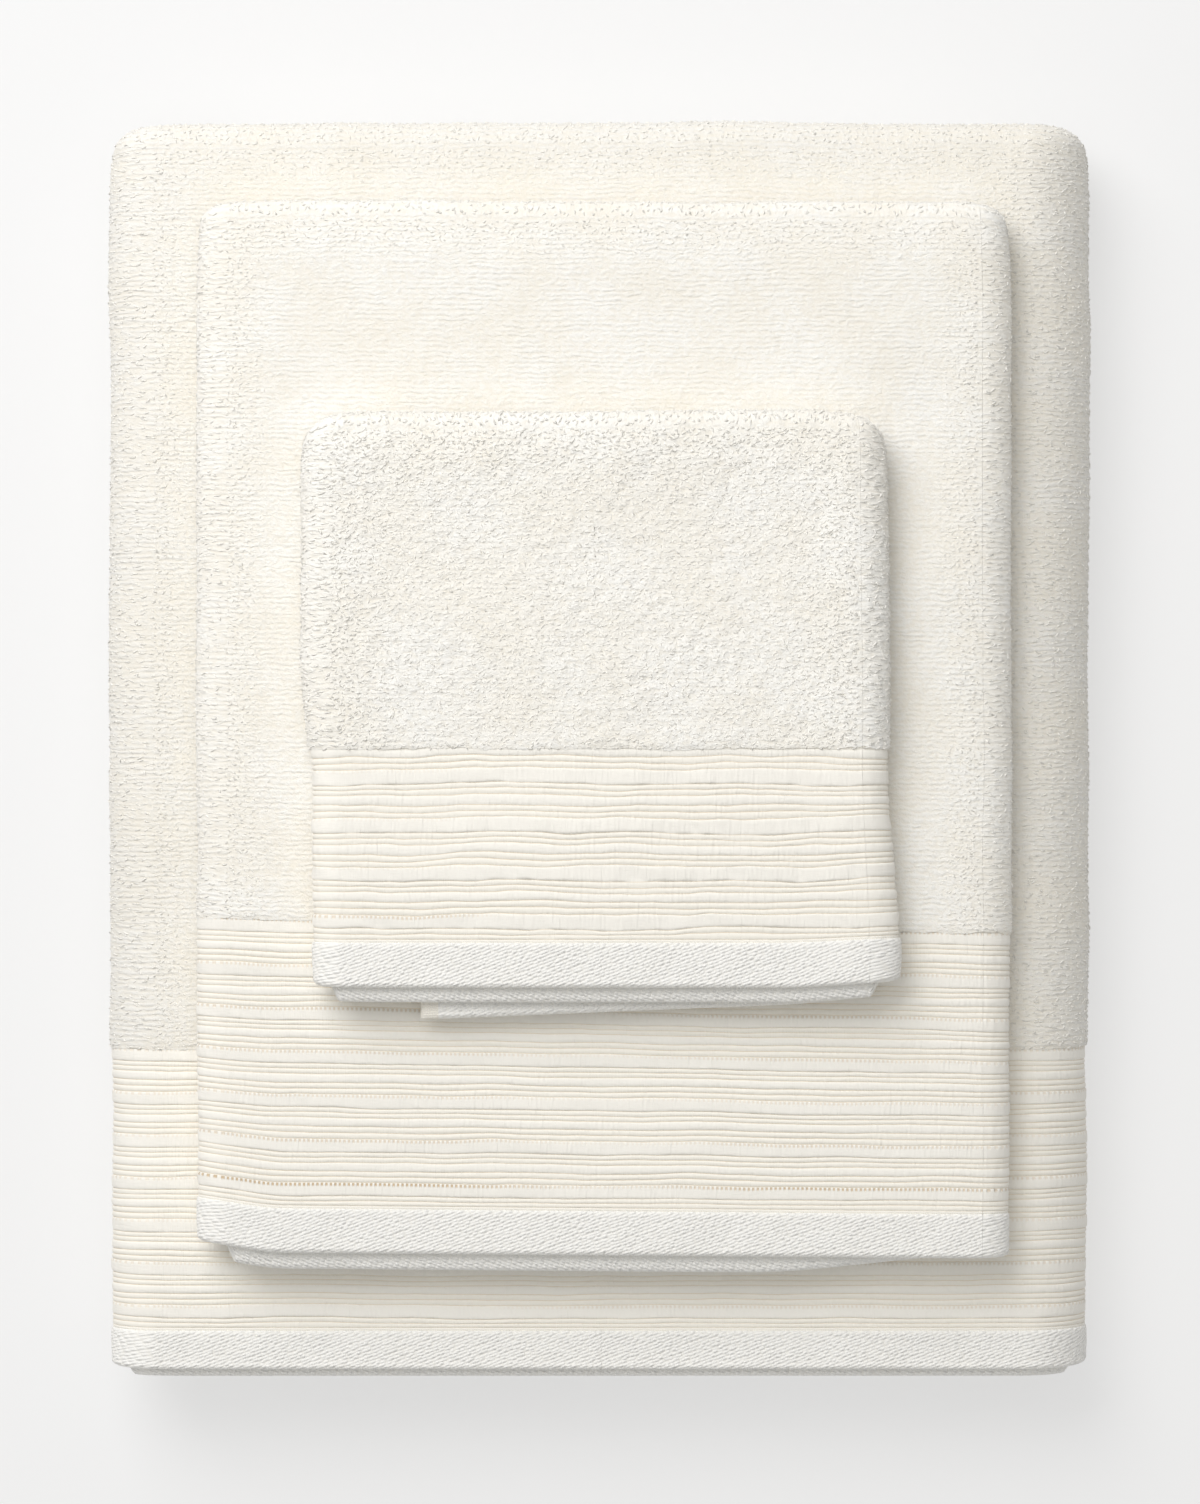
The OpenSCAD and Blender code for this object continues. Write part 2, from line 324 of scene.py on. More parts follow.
    def slant(self, u, v, x):
        """How far the second end's corners are drawn back under the first end."""
        drawn_back = 1.1 * (self.fronts[0] - self.fronts[1])
        near_end = smooth_step(v, self.length - 50 * MM, self.length - 10 * MM)
        shows = smooth_step(x - self.left, *self.tuck_left) * smooth_step(self.right - x, *self.tuck_right)
        return drawn_back * near_end * (1 - shows)

    def waves(self, x, y):
        """The slow waves in the towel's top."""
        return self.swell * (self.noise(x / 0.052, y / 0.047) - 0.4)

    def settle(self, x, y, z):
        """Let the square folded shape slump above its fold plane, and lean and wander a little."""
        fold_plane = self.under + self.right_radius
        height = np.clip((z - fold_plane) / (self.top - fold_plane), 0, 1)
        from_left, from_right = x - self.left, self.right - x
        from_side, from_rear = np.minimum(from_left, from_right), self.rear_end - y
        near_side = np.clip(1 - from_side / self.roll, 0, 1) ** 2
        near_rear = np.clip(1 - from_rear / self.roll, 0, 1) ** 2
        near_front = 0.25 * np.clip(1 - (y - self.fronts[1]) / self.roll, 0, 1) ** 2
        near_edge = 1 - (1 - near_side) * (1 - near_rear) * (1 - near_front)
        low = z - self.droop * near_edge * height + self.waves(x, y) * height * (1 - near_edge)
        for other in self.towels_below():
            low = low + other.waves(x, y) * smooth_step(from_right, self.right_radius, 3 * self.right_radius)
        drawn_in = self.corner * np.exp(-(from_side + from_rear) / (7 * MM))
        front_in = 0.4 * self.corner * np.exp(-(from_side + y - self.fronts[1]) / (5 * MM))
        inward = np.where(from_left < from_right, 1, -1)
        wander_x = 0.5 * MM * self.noise(y / 0.026, inward * 3.7 + 0 * y)
        wander_y = 0.6 * MM * self.noise(x / 0.031, 9.1 + 0 * x) * smooth_step(-from_rear, -60 * MM, -5 * MM)
        lean_x, lean_y = self.lean(x, y)
        x = x + inward * (drawn_in + front_in) + wander_x + lean_x
        return np.stack([x, y - drawn_in + front_in + wander_y + lean_y, low], axis=-1)

    def towels_below(self):
        return [] if self.below is None else [self.below, *self.below.towels_below()]

    def lean(self, x, y):
        """How far the towel isn't square, in x and y."""
        return 0 * x, 0 * y


class BathTowel(Towel):
    layers = 4
    roll = 21 * MM
    droop = 2.6 * MM
    swell = 0.5 * MM
    grain = 1.45 * MM
    hidden_grain = 9 * MM
    fluff = 0.0
    tints = (LINEN, DEEP_LINEN)
    ladders = (0.3, 0.3, 0.2, 0.3, 0.2, 0.3, 0.3)
    loop_gap = 1.6 * MM
    loop_reach = 24 * MM
    seed = 11


class HandTowel(Towel):
    tuck_left = (8 * MM, 11.5 * MM)
    tuck_right = (8 * MM, 75 * MM)
    ladders = (1.0, 0.5, 0.35, 0.4, 0.45, 0.35, 0.5)
    seed = 22

    def lean(self, x, y):
        """The ribs run down to the right, and the hem's left end turns up."""
        across = (x - (self.left + self.right) / 2) / (self.right - self.left)
        band_end = self.fronts[0] + self.hem + self.band
        tilt = smooth_step(-y, -self.rear_end, -band_end) - 0.6 * smooth_step(-y, -band_end, -self.fronts[0])
        turned_up = 2.6 * MM * (1 - smooth_step(x - self.left, 0, 26 * MM))
        near_front = 1 - smooth_step(y, self.fronts[0], band_end)
        return 0 * x, -4.6 * MM * across * tilt + turned_up * near_front


class Washcloth(Towel):
    roll = 15 * MM
    droop = 2.2 * MM
    corner = 4.2 * MM
    swell = 0.7 * MM
    grain = 0.65 * MM
    hidden_grain = 1.6 * MM
    fluff = 0.8
    tousle = 1.7
    rib_groups = 3
    starts_medium = True
    ladders = (1.0, 0.2, 0.2, 0.2)
    ladder_end = 50 * MM
    loop_gap = 1.25 * MM
    loop_size = 0.9 * MM
    loop_rise = 0.5
    loop_reach = 1000 * MM
    seed = 33
    base_forward = 5.0 * MM     # how far the bottom leaf's left corner has turned to the front

    def slant(self, u, v, x):
        turned = (self.right_axis - x) / (self.right_axis - self.right_free)
        return super().slant(u, v, x) - np.where(u > self.u[4], self.base_forward * turned, 0)

    def lean(self, x, y):
        """The front is shifted to the right, and the hem flares out and turns up at its right end."""
        across = (x - self.left) / (self.right - self.left)
        band_end = self.fronts[0] + self.hem + self.band
        left_in = 3.2 * MM * (1 - smooth_step(y, band_end - 12 * MM, band_end + 30 * MM))
        right_out = 3.9 * MM * (1 - smooth_step(y, self.fronts[0] + 5 * MM, band_end))
        turned_up = 1.3 * MM * smooth_step(across, 0.8, 1) * (1 - smooth_step(y, self.fronts[0], band_end))
        return (1 - across) * left_in + across ** 10 * right_out, turned_up


# ---------------------------------------------------------------- meshes

def lower_rows(count, in_turn):
    """The rows that a piece's plainer lower side keeps: every sixth, and every other round a turn."""
    row = np.arange(count)
    keep = (row % 6 == 0) | (in_turn & (row % 2 == 0)) | (row == count - 1)
    return row[keep]


def sheet_mesh(name, upper, lower, rows, cloth, mark):
    """A closed mesh between a fine grid of points and a plainer one that keeps only some rows."""
    count, columns = upper.shape[:2]
    top = np.arange(count * columns).reshape(count, columns)
    under = np.arange(len(rows) * columns).reshape(len(rows), columns) + top.size
    def quads(a, b, c, d):
        return np.stack([a, b, c, d], axis=-1).reshape(-1, 4)
    faces = np.concatenate([
        quads(top[:-1, :-1], top[:-1, 1:], top[1:, 1:], top[1:, :-1]),
        quads(under[:-1, :-1], under[1:, :-1], under[1:, 1:], under[:-1, 1:]),
        quads(top[0, 1:], top[0, :-1], under[0, :-1], under[0, 1:]),
        quads(top[-1, :-1], top[-1, 1:], under[-1, 1:], under[-1, :-1])])
    sides = []
    for k, (first, last) in enumerate(zip(rows[:-1], rows[1:])):
        edge = top[first:last + 1, 0]
        sides.append(np.concatenate([edge, [under[k + 1, 0], under[k, 0]]]))
        edge = top[first:last + 1, -1][::-1]
        sides.append(np.concatenate([edge, [under[k, -1], under[k + 1, -1]]]))
    loops = np.concatenate([faces.ravel(), *sides])
    sizes = np.concatenate([np.full(len(faces), 4), [len(side) for side in sides]])
    points = np.concatenate([upper.reshape(-1, 3), lower.reshape(-1, 3)])

    mesh = new_mesh(name, points, loops, sizes)
    set_cloth(
        mesh, np.concatenate([cloth.reshape(-1, 3), cloth[rows].reshape(-1, 3)]),
        np.concatenate([mark.ravel(), mark[rows].ravel()]))
    sharpen_rims(mesh, top, under)
    return mesh


def new_mesh(name, points, corners, sizes):
    """A mesh of faces given as one run of corners, and the size of each face."""
    mesh = bpy.data.meshes.new(name)
    mesh.vertices.add(len(points))
    mesh.vertices.foreach_set("co", points.astype(np.float32).ravel())
    mesh.loops.add(len(corners))
    mesh.loops.foreach_set("vertex_index", corners.astype(np.int32))
    mesh.polygons.add(len(sizes))
    mesh.polygons.foreach_set("loop_start", (np.cumsum(sizes) - sizes).astype(np.int32))
    mesh.update(calc_edges=True)
    return mesh


def set_cloth(mesh, cloth, mark):
    """Give each point its cloth coordinates and hollowness, and its mark, for the materials."""
    mesh.attributes.new("cloth", "FLOAT_VECTOR", "POINT").data.foreach_set(
        "vector", cloth.astype(np.float32).ravel())
    mesh.attributes.new("mark", "FLOAT", "POINT").data.foreach_set("value", mark.astype(np.float32))


def sharpen_rims(mesh, top, under):
    """Smooth shading all over, but with a crisp edge round the rim of each side."""
    rim = np.zeros(len(mesh.vertices), int)
    for k, grid in ((1, top), (2, under)):
        for line in (grid[0], grid[-1], grid[:, 0], grid[:, -1]):
            rim[line] = k
    ends = np.empty(2 * len(mesh.edges), np.int32)
    mesh.edges.foreach_get("vertices", ends)
    first, last = rim[ends[::2]], rim[ends[1::2]]
    mesh.shade_smooth()
    mesh.attributes.new("sharp_edge", "BOOLEAN", "EDGE").data.foreach_set(
        "value", (first > 0) & (first == last))


def loop_rings(rng, u, v, pile_top, size, rise):
    """Cloth coordinates of a small arch of yarn at each place: four rings of three points each."""
    count = len(u)
    turn = rng.normal(0, 0.6, count)
    direction = np.stack([np.cos(turn), np.sin(turn), 0 * turn], axis=-1)
    flat_normal = np.stack([-np.sin(turn), np.cos(turn), 0 * turn], axis=-1)
    half_width = size * rng.uniform(0.45, 0.8, count)
    height = size * rise * rng.uniform(0.7, 1.1, count)
    lean = np.stack([rng.normal(0, 0.35, count), rng.normal(-0.25, 0.35, count), 1 + 0 * turn], axis=-1)
    root = np.stack([u, v, pile_top - 0.35 * size], axis=-1)
    angle = np.linspace(0, math.pi, 4)
    centre = (
        root[:, None] - (half_width[:, None] * np.cos(angle))[..., None] * direction[:, None]
        + (height[:, None] * np.sin(angle))[..., None] * lean[:, None])
    along = np.gradient(centre, axis=1)
    along /= np.linalg.norm(along, axis=-1, keepdims=True)
    out = np.cross(along, flat_normal[:, None])
    out /= np.linalg.norm(out, axis=-1, keepdims=True)
    side = np.cross(along, out)
    radius = 0.26 * size
    turns = 2 * math.pi * np.arange(3) / 3
    spread = np.cos(turns)[:, None] * out[:, :, None] + np.sin(turns)[:, None] * side[:, :, None]
    return centre[:, :, None] + radius * spread


def loops_mesh(name, rings, towel):
    """One mesh of short closed tubes, folded with the towel."""
    count, ring_count, sides = rings.shape[:3]
    cloth = rings.reshape(-1, 3)
    points = towel.fold(cloth[:, 0], cloth[:, 1], cloth[:, 2])
    index = np.arange(len(cloth)).reshape(count, ring_count, sides)
    ahead = np.roll(index, -1, axis=2)
    walls = np.stack([index[:, :-1], ahead[:, :-1], ahead[:, 1:], index[:, 1:]], axis=-1).reshape(-1, 4)
    caps = np.concatenate([index[:, 0, ::-1], index[:, -1]])
    corners = np.concatenate([walls.ravel(), caps.ravel()])
    sizes = np.concatenate([np.full(len(walls), 4), np.full(len(caps), 3)])
    mesh = new_mesh(name, points, corners, sizes)
    set_cloth(mesh, cloth / MM * (1, 1, 0), np.zeros(len(cloth)))
    mesh.shade_smooth()
    return mesh


def bend_with_fold(piece):
    """The right bend joins the two leaves; its place is baked into its points."""
    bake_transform(piece)


# ---------------------------------------------------------------- materials

class Material:
    """A node material laid out in cloth coordinates, with short ways to add and link nodes."""

    def __init__(self, name, roughness=0.9, sheen=0.25):
        self.material = bpy.data.materials.new(name)
        self.material.use_nodes = True
        self.tree = self.material.node_tree
        self.shader = self.tree.nodes["Principled BSDF"]
        self.shader.inputs["Roughness"].default_value = roughness
        self.shader.inputs["Sheen Weight"].default_value = sheen
        self.shader.inputs["Sheen Roughness"].default_value = 0.5
        self.shader.inputs["Specular IOR Level"].default_value = 0.15
        cloth = self.node("ShaderNodeAttribute", attribute_name="cloth")
        parts = self.node("ShaderNodeSeparateXYZ")
        self.link(cloth.outputs["Vector"], parts.inputs[0])
        self.u, self.v, self.hollow = parts.outputs
        self.mark = self.node("ShaderNodeAttribute", attribute_name="mark").outputs["Fac"]

    def node(self, kind, **settings):
        node = self.tree.nodes.new(kind)
        for key, value in settings.items():
            setattr(node, key, value)
        return node

    def link(self, source, target):
        if isinstance(source, (int, float)):
            target.default_value = source
        else:
            self.tree.links.new(source, target)

    def math(self, operation, a, b=0.0, c=0.0):
        node = self.node("ShaderNodeMath", operation=operation)
        for value, socket in zip((a, b, c), node.inputs):
            self.link(value, socket)
        return node.outputs[0]

    def add(self, *terms):
        """The sum of terms, each a socket with its weight."""
        total = 0.0
        for socket, weight in terms:
            total = self.math("MULTIPLY_ADD", socket, weight, total)
        return total

    def place(self, across, along, turn=0.0):
        """Cloth coordinates, turned, in cells that are so many millimetres across and along."""
        node = self.node("ShaderNodeCombineXYZ")
        turned_u = self.add((self.u, math.cos(turn) / across), (self.v, math.sin(turn) / across))
        turned_v = self.add((self.u, -math.sin(turn) / along), (self.v, math.cos(turn) / along))
        self.link(turned_u, node.inputs[0])
        self.link(turned_v, node.inputs[1])
        return node.outputs[0]

    def noise(self, across, along, detail=2.0):
        node = self.node("ShaderNodeTexNoise")
        node.inputs["Scale"].default_value = 1.0
        node.inputs["Detail"].default_value = detail
        self.link(self.place(across, along), node.inputs["Vector"])
        return node.outputs["Fac"]

    def lumps(self, across, along, randomness, turn=0.0):
        """Rounded lumps, one to a cell, 1 at the middle of each."""
        node = self.node("ShaderNodeTexVoronoi", feature="SMOOTH_F1")
        node.inputs["Scale"].default_value = 1.0
        node.inputs["Smoothness"].default_value = 0.35
        node.inputs["Randomness"].default_value = randomness
        self.link(self.place(across, along, turn), node.inputs["Vector"])
        return self.math("SUBTRACT", 1.0, node.outputs["Distance"])

    def wave(self, coordinate, period, shift=0.0):
        """A sine wave from 0 to 1 along one coordinate in millimetres."""
        turns = self.math("MULTIPLY_ADD", coordinate, 2 * math.pi / period, shift)
        return self.math("MULTIPLY_ADD", self.math("SINE", turns), 0.5, 0.5)

    def mix(self, share, low, high):
        node = self.node("ShaderNodeMix", data_type="RGBA")
        self.link(share, node.inputs["Factor"])
        for value, socket in ((low, node.inputs["A"]), (high, node.inputs["B"])):
            if isinstance(value, tuple):
                socket.default_value = (*value, 1)
            else:
                self.link(value, socket)
        return node.outputs["Result"]

    def ramp(self, value, start, end, low=0.0, high=1.0):
        node = self.node("ShaderNodeMapRange", interpolation_type="SMOOTHSTEP")
        self.link(value, node.inputs["Value"])
        node.inputs["From Min"].default_value = start
        node.inputs["From Max"].default_value = end
        node.inputs["To Min"].default_value = low
        node.inputs["To Max"].default_value = high
        return node.outputs["Result"]

    def bump(self, height, distance, strength=1.0):
        node = self.node("ShaderNodeBump")
        node.inputs["Strength"].default_value = strength
        node.inputs["Distance"].default_value = distance
        self.link(height, node.inputs["Height"])
        self.link(node.outputs["Normal"], self.shader.inputs["Normal"])

    def colour(self, socket):
        self.link(socket, self.shader.inputs["Base Color"])
        return self.material


def terry_material(name, fluff, pale, deep):
    """Looped pile in two close tints, with painted shade in its low parts: rows of small loops, the more
    tousled the higher fluff is.
    """
    m = Material(name, sheen=0.35)
    drift = m.add((m.noise(16, 8, 1.0), 6.0), (m.noise(4.2, 2.8, 1.0), 7.0))
    rows = m.math("MULTIPLY", m.wave(m.v, 1.45, drift), m.ramp(m.noise(12, 9, 1.0), 0.3, 0.65, 0.35, 1.0))
    loops = m.lumps(1.7, 1.25, 1.0)
    small_loops = m.lumps(0.8, 0.6, 1.0)
    fuzz = m.noise(0.35, 0.3, 3.0)
    tufts = m.noise(2.2, 1.8, 2.0)
    height = m.add(
        (rows, 0.3 - 0.2 * fluff), (loops, 0.34), (small_loops, 0.3), (fuzz, 0.4), (tufts, 0.3 + 0.3 * fluff))
    m.bump(height, 0.6 * MM, 0.8)
    patch = m.ramp(m.noise(24, 24, 2.0), 0.35, 0.65)
    base = m.mix(patch, pale, deep)
    # Painted shade: where the relief is low, the colour is mixed up to 40 percent towards a darker warm
    # colour.
    return m.colour(m.mix(m.ramp(height, 0.95, 0.55, 0.0, 0.4), base, HOLLOW_SHADING))


def yarn_material():
    """The twisted yarn of single loops that stand up out of the pile."""
    m = Material("pile_yarn", sheen=0.3)
    twist = m.wave(m.add((m.u, 1.0), (m.v, 1.0)), 0.4)
    m.bump(twist, 0.05 * MM, 0.8)
    return m.colour(m.mix(m.noise(3.0, 3.0, 2.0), WHITE, IVORY))


def band_material():
    """Flat-woven ribs: a fine weave on the crests, and painted shade, a warm tan, down in the grooves and in
    the open ladder stitches.
    """
    m = Material("ribbed_band", sheen=0.15)
    warp = m.noise(0.75, 7.0, 1.0)
    slub = m.noise(2.2, 0.5, 2.0)
    crease = m.noise(1.6, 4.0, 2.0)
    slots = m.math("MULTIPLY", m.mark, m.ramp(m.wave(m.u, 1.25), 0.4, 0.7))
    height = m.add((warp, 1.3), (slub, 0.5), (crease, 0.9), (slots, -2.5))
    m.bump(height, 0.22 * MM, 0.85)
    # Painted shade: rows turn darker cream and then warm tan as their hollowness rises, and the open ladder
    # slots are painted tan.
    crest = m.mix(m.ramp(m.hollow, 0.0, 0.3), IVORY, CREAM)
    groove_shaded = m.mix(m.ramp(m.hollow, 0.3, 1.0, 0.0, 0.62), crest, TAN_SHADING)
    return m.colour(m.mix(slots, groove_shaded, TAN_SHADING))


def hem_material():
    """A turned and sewn hem in a coarse twill of short slanting threads, with painted shade between them."""
    m = Material("hem_twill", sheen=0.15)
    threads = m.lumps(1.4, 0.9, 0.4, turn=math.radians(20))
    fuzz = m.noise(0.4, 0.4, 2.0)
    height = m.add((threads, 1.3), (fuzz, 0.3))
    m.bump(height, 0.58 * MM, 0.85)
    base = m.mix(m.noise(10, 10, 2.0), SNOW, WHITE)
    # Painted shade: where the twill is low, the colour is mixed up to 18 percent towards a darker warm
    # colour.
    return m.colour(m.mix(m.ramp(height, 0.95, 0.55, 0.0, 0.18), base, HOLLOW_SHADING))


def selvage_material():
    m = Material("woven_selvage", sheen=0.15)
    weave = m.math("MULTIPLY", m.wave(m.u, 0.7), m.wave(m.v, 0.7))
    m.bump(weave, 0.15 * MM, 0.8)
    # Painted shade: the low parts of the weave are a darker cream.
    return m.colour(m.mix(weave, CREAM, IVORY))


def thread_material():
    m = Material("sewing_thread", roughness=0.8, sheen=0.1)
    twist = m.wave(m.u, 0.5)
    m.bump(twist, 0.05 * MM, 0.8)
    # Painted shade: the low parts of the twist are a darker cream.
    return m.colour(m.mix(twist, CREAM, IVORY))


# ---------------------------------------------------------------- the ribs of the band

RIB_WIDTHS = {
    "wide": 3.7 * MM, "first": 1.55 * MM, "second": 1.55 * MM, "medium": 2.4 * MM, "fine": 1.35 * MM}
RIB_HEIGHTS = {
    "wide": 0.5 * MM, "first": 0.42 * MM, "second": 0.42 * MM, "medium": 0.48 * MM, "fine": 0.36 * MM}
RIB_SQUARENESS = {"wide": 9, "first": 2.6, "second": 2.6, "medium": 4, "fine": 2.4}
RIB_ROWS = {
    "wide": (0, 0.03, 0.08, 0.16, 0.3, 0.5, 0.7, 0.82, 0.88, 0.93, 0.97),
    "medium": (0, 0.06, 0.16, 0.35, 0.65, 0.84, 0.94)}
NARROW_ROWS = (0, 0.1, 0.25, 0.5, 0.75, 0.9)


def rib_order(repeats, starts_medium):
    """The ribs from the hem to the terry."""
    group = ("second", "first", "medium", "fine", "fine", "wide")
    ribs = ["fine", "fine", "wide"] + list(group) * repeats
    return ribs + ["second", "first", "medium"] if starts_medium else ribs


class Ribs:
    """Rows of a ribbed band: each row's distance from the hem, height, hollowness and marks."""

    def __init__(self, order, length, ladders):
        scale = length / sum(RIB_WIDTHS[kind] for kind in order)
        self.place, self.height, self.hollow, self.ladder, self.crease = [], [], [], [], []
        start, wide_count = 0.0, 0
        for kind in order:
            width = RIB_WIDTHS[kind] * scale
            narrow = kind not in RIB_ROWS
            for share in RIB_ROWS.get(kind, NARROW_ROWS):
                bulge = 1 - abs(2 * share - 1) ** RIB_SQUARENESS[kind]
                self.place.append(start + share * width)
                self.height.append(RIB_HEIGHTS[kind] * bulge)
                # A row's hollowness is how far down in a groove it lies; it sets the band's painted shade.
                self.hollow.append(max(1 - 2.0 * bulge, 0.2 if narrow else 0))
                slotted = kind == "wide" and 0.8 < share < 0.95
                self.ladder.append(ladders[wide_count] if slotted else 0)
                self.crease.append(bulge if kind == "wide" else 0.3 * bulge)
            wide_count += kind == "wide"
            start += width
        under_pile = (0, 2.5 * MM)
        for past in under_pile:
            self.place.append(length + past)
            self.height.append(0.3 * MM)
            self.hollow.append(0.3)
            self.ladder.append(0)
            self.crease.append(0)
        for name in ("place", "height", "hollow", "ladder", "crease"):
            setattr(self, name, np.array(getattr(self, name))[:, None])


# ---------------------------------------------------------------- the pieces of one towel

def rounded(distance, radius):
    """How full the cloth's thickness is at a distance from a free edge."""
    t = np.clip(distance / radius, 0, 1)
    return np.sqrt(1 - (1 - t) ** 2) * 0.98 + 0.02


class Maker:
    """Makes every visible piece of one towel."""

    def __init__(self, towel, materials):
        self.t, self.materials = towel, materials
        order = rib_order(towel.rib_groups, towel.starts_medium)
        self.ribs = Ribs(order, towel.band, towel.ladders)
        self.made = {"top": [], "fold": [], "base": []}

    def columns(self, body, fine):
        """Places across the width for one body's share of the cloth."""
        t = self.t
        flap_step = max(fine, t.hidden_grain)
        if body == "top":
            bend = np.linspace(t.u[1], t.u[2], 33)
            places = join(spaced(t.selvage, t.u[1], flap_step), bend, spaced(t.u[2], t.u[3], fine))
        elif body == "fold":
            share = np.linspace(0, 1, 49)
            places = t.u[3] + (t.u[4] - t.u[3]) * (share - 0.9 * np.sin(2 * math.pi * share) / (2 * math.pi))
        else:
            places = spaced(t.u[4], t.width - t.selvage, flap_step)
        return with_close_ends(places)

    def lumps(self, u, v, size, shift=0.0):
        return self.t.noise(u / size + shift, v / size - shift)

    def add(self, name, body, u, v, upper, lower, slot, nodes, hollow=0.0, mark=0.0):
        """Fold a piece of cloth that stands upper above its middle and lower below it."""
        t = self.t
        u, v, upper, lower, hollow, mark = np.broadcast_arrays(u, v, upper, lower, hollow, mark)
        turning = np.zeros(len(v), bool)
        for start, end, run in t.runs:
            if run[0] == "turn":
                turning |= (v[:, 0] > start) & (v[:, 0] < end)
        rows = lower_rows(len(v), turning)
        cloth = np.stack([u / MM, v / MM, hollow], axis=-1)
        outer, inner = t.fold(u, v, upper), t.fold(u[rows], v[rows], -lower[rows])
        mesh = sheet_mesh(f"{t.name}_{name}", outer, inner, rows, cloth, mark)
        piece = bpy.data.objects.new(f"{t.name}_{name}_cloth", mesh)
        bpy.context.collection.objects.link(piece)
        mesh.materials.append(self.materials[slot])
        if body == "fold":
            bend_with_fold(piece)
        else:
            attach(piece, f"{t.name}_{body}")
        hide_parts(*[f"{t.name}_{node}" for node in nodes])
        self.made[body].append(piece)
        return piece

    def pile_top(self, u, v):
        """How far the pile stands above the middle of the cloth: uneven, and lower at its borders."""
        t = self.t
        start, end = t.hem + t.seam + t.band, t.length - t.hem - t.seam - t.band
        small, middle = self.lumps(u, v, 1.5 * MM), self.lumps(u, v, 3.6 * MM, 5.5)
        large = self.lumps(u, v, 15 * MM, 8.8)
        relief = (t.tousle * (0.13 * small + 0.1 * middle) + 0.22 * large - 0.3) * MM
        edge = np.minimum(rounded(v - start + 0.5 * MM, 3 * MM), rounded(end - v + 0.5 * MM, 3 * MM))
        return t.thick / 2 - BAND_DROP + (BAND_DROP + relief) * edge

    def pile_loops(self, body):
        """Single loops of yarn that stand up out of the pile: a piece for each part of the cloth."""
        t = self.t
        start, rear = t.hem + t.seam + t.band - 0.2 * MM, t.runs[0][1]
        rear_turn = t.runs[1][1]
        if body == "top":
            areas = {
                "front": (t.u[2], t.u[3], start, rear),
                "left": (t.u[1] + 3 * MM, t.u[2], start, rear_turn),
                "rear": (t.u[2], t.u[3], rear, rear_turn)}
        else:
            areas = {"side": (t.u[3], t.u[4] - 3 * MM, start, rear_turn)}
        for place, (u_start, u_end, v_start, v_end) in areas.items():
            rng = np.random.default_rng([t.seed, len(place)])
            gap = t.loop_gap
            u, v = np.meshgrid(np.arange(u_start, u_end - gap, gap), np.arange(v_start, v_end - gap, gap))
            u = (u + gap * rng.uniform(0, 1, u.shape)).ravel()
            v = (v + gap * rng.uniform(0, 1, v.shape)).ravel()
            from_edge = np.minimum(np.minimum(u - t.u[2], t.u[3] - u), rear - v)
            kept = from_edge < t.loop_reach
            u, v, from_edge = u[kept], v[kept], from_edge[kept]
            near_edge = 1 - smooth_step(from_edge, 0, EDGE_REACH)
            rise = t.loop_rise + (EDGE_RISE - t.loop_rise) * near_edge
            rings = loop_rings(rng, u, v, self.pile_top(u, v), t.loop_size, rise)
            mesh = loops_mesh(f"{t.name}_{place}_loops", rings, t)
            piece = bpy.data.objects.new(f"{t.name}_{place}_loops", mesh)
            bpy.context.collection.objects.link(piece)
            mesh.materials.append(self.materials["yarn"])
            if body == "fold":
                bend_with_fold(piece)
            else:
                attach(piece, f"{t.name}_{body}")
            self.made[body].append(piece)

    def terry(self, body, nodes):
        t = self.t
        start, end = t.hem + t.seam + t.band, t.length - t.hem - t.seam - t.band
        hidden = 1.6 * MM if body == "fold" else t.hidden_grain
        runs = [spaced(start, start + 3 * MM, 0.4 * MM), spaced(start + 3 * MM, t.runs[0][1], t.grain)]
        for first, last, run in t.runs[1:-1]:
            runs.append(spaced(first, last, 0.8 * MM if run[0] == "turn" else hidden))
        runs.append(spaced(t.runs[-1][0], end, hidden))
        v, u = with_close_ends(join(*runs))[:, None], self.columns(body, t.grain)[None, :]
        ragged = 0.45 * MM * self.lumps(u, v, 1.6 * MM, 2.2) + 0.4 * MM * self.lumps(u, v, 7 * MM, 4.4)
        v = v + (ragged - 0.3 * MM) * (1 - smooth_step(v, start, start + 4 * MM))
        upper = self.pile_top(u, v)
        piece = self.add(f"{body}_terry", body, u, v, upper, t.thick / 2 - 0.15 * MM, "terry", nodes)
        across = {"top": t.u[3] - t.selvage, "fold": t.u[4] - t.u[3], "base": t.u[5] - t.u[4] - t.selvage}
        self.terry_flat = (across[body], end - start)
        return piece

